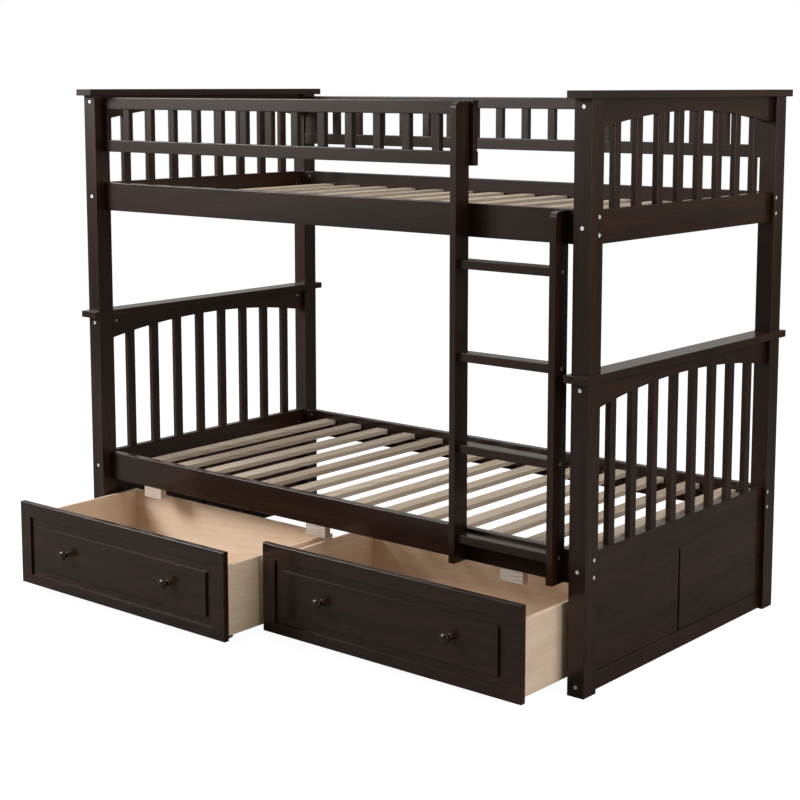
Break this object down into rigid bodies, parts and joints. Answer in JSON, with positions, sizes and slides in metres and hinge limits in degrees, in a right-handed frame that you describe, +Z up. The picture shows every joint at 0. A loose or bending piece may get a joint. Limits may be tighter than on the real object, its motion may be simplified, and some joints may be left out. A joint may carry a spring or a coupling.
{
  "type": "bunk bed with ladder",
  "caption": "Dark stained wooden bunk bed with stacked twin bunks, spindled arched ends, guard rails, a bolted ladder and rolling under-bed drawers.",
  "frame": {"origin": "middle of the bounding box at floor level, with both drawers standing open as stored", "axes": "+X along the bed towards the ladder end, +Y from the drawer side to the wall side, +Z up from the floor"},
  "size_m": [2.018, 1.4722, 1.611],
  "materials": {
    "espresso_wood": "satin dark espresso stain, fine straight grain",
    "pale_pine": "unfinished sanded pine",
    "drawer_board": "smooth clear-coated pale board",
    "nickel_bolt": "bright nickel plate",
    "zinc_steel": "zinc plate",
    "dark_knob": "turned wood, dark stained and lacquered",
    "caster_steel": "pressed zinc-plated sheet",
    "caster_wheel": "moulded grey nylon"
  },
  "bodies": {
    "bed": {"back_guard_balusters": "espresso_wood", "back_guard_low_rail": "espresso_wood", "back_guard_top_rail": "espresso_wood", "barrel_nuts": "zinc_steel", "bed_bolts": "nickel_bolt", "bottom_rails": "espresso_wood", "bunk_pins": "zinc_steel", "drawer_stops": "pale_pine", "end_panels": "espresso_wood", "front_guard_balusters": "espresso_wood", "front_guard_low_rail": "espresso_wood", "front_guard_top_rail": "espresso_wood", "ladder_bolts": "nickel_bolt", "ladder_left_stile": "espresso_wood", "ladder_right_stile": "espresso_wood", "ladder_rungs": "espresso_wood", "lower_back_left_post": "espresso_wood", "lower_back_rail": "espresso_wood", "lower_back_right_post": "espresso_wood", "lower_caps": "espresso_wood", "lower_cleats": "espresso_wood", "lower_end_rails": "espresso_wood", "lower_front_left_post": "espresso_wood", "lower_front_rail": "espresso_wood", "lower_front_right_post": "espresso_wood", "lower_left_arch_rail": "espresso_wood", "lower_right_arch_rail": "espresso_wood", "lower_slats": "pale_pine", "lower_spindles": "espresso_wood", "panel_battens": "espresso_wood", "upper_back_left_post": "espresso_wood", "upper_back_rail": "espresso_wood", "upper_back_right_post": "espresso_wood", "upper_caps": "espresso_wood", "upper_cleats": "espresso_wood", "upper_end_rails": "espresso_wood", "upper_front_left_post": "espresso_wood", "upper_front_rail": "espresso_wood", "upper_front_right_post": "espresso_wood", "upper_left_arch_rail": "espresso_wood", "upper_right_arch_rail": "espresso_wood", "upper_slats": "pale_pine", "upper_spindles": "espresso_wood"},
    "left_drawer": {"left_drawer_back": "drawer_board", "left_drawer_bottom": "drawer_board", "left_drawer_casters": "caster_steel", "left_drawer_front": "espresso_wood", "left_drawer_knobs": "dark_knob", "left_drawer_sides": "drawer_board"},
    "right_drawer": {"right_drawer_back": "drawer_board", "right_drawer_bottom": "drawer_board", "right_drawer_casters": "caster_steel", "right_drawer_front": "espresso_wood", "right_drawer_knobs": "dark_knob", "right_drawer_sides": "drawer_board"},
    "left_front_wheel_pair": {"left_front_wheels": "caster_wheel"},
    "left_rear_wheel_pair": {"left_rear_wheels": "caster_wheel"},
    "right_front_wheel_pair": {"right_front_wheels": "caster_wheel"},
    "right_rear_wheel_pair": {"right_rear_wheels": "caster_wheel"}
  },
  "joints": [
    {"name": "left_drawer_slide", "type": "slide", "parent": "bed", "child": "left_drawer", "axis": [0, -1, 0], "range_m": [-0.3637, 0.086]},
    {"name": "left_front_wheel_turn", "type": "hinge", "parent": "left_drawer", "child": "left_front_wheel_pair", "pos_m": [-0.4715, -0.60905, 0.0125], "axis": [1, 0, 0], "range_deg": [-1680, 410]},
    {"name": "left_rear_wheel_turn", "type": "hinge", "parent": "left_drawer", "child": "left_rear_wheel_pair", "pos_m": [-0.4715, -0.30905, 0.0125], "axis": [1, 0, 0], "range_deg": [-1680, 410]},
    {"name": "right_drawer_slide", "type": "slide", "parent": "bed", "child": "right_drawer", "axis": [0, -1, 0], "range_m": [-0.2122, 0.238]},
    {"name": "right_front_wheel_turn", "type": "hinge", "parent": "right_drawer", "child": "right_front_wheel_pair", "pos_m": [0.4715, -0.45755, 0.0125], "axis": [1, 0, 0], "range_deg": [-990, 1110]},
    {"name": "right_rear_wheel_turn", "type": "hinge", "parent": "right_drawer", "child": "right_rear_wheel_pair", "pos_m": [0.4715, -0.15755, 0.0125], "axis": [1, 0, 0], "range_deg": [-990, 1110]}
  ],
  "couplings": [
    {"joint": "left_front_wheel_turn", "follows": "left_drawer_slide", "rad_per_m": 80},
    {"joint": "left_rear_wheel_turn", "follows": "left_drawer_slide", "rad_per_m": 80},
    {"joint": "right_front_wheel_turn", "follows": "right_drawer_slide", "rad_per_m": 80},
    {"joint": "right_rear_wheel_turn", "follows": "right_drawer_slide", "rad_per_m": 80}
  ]
}
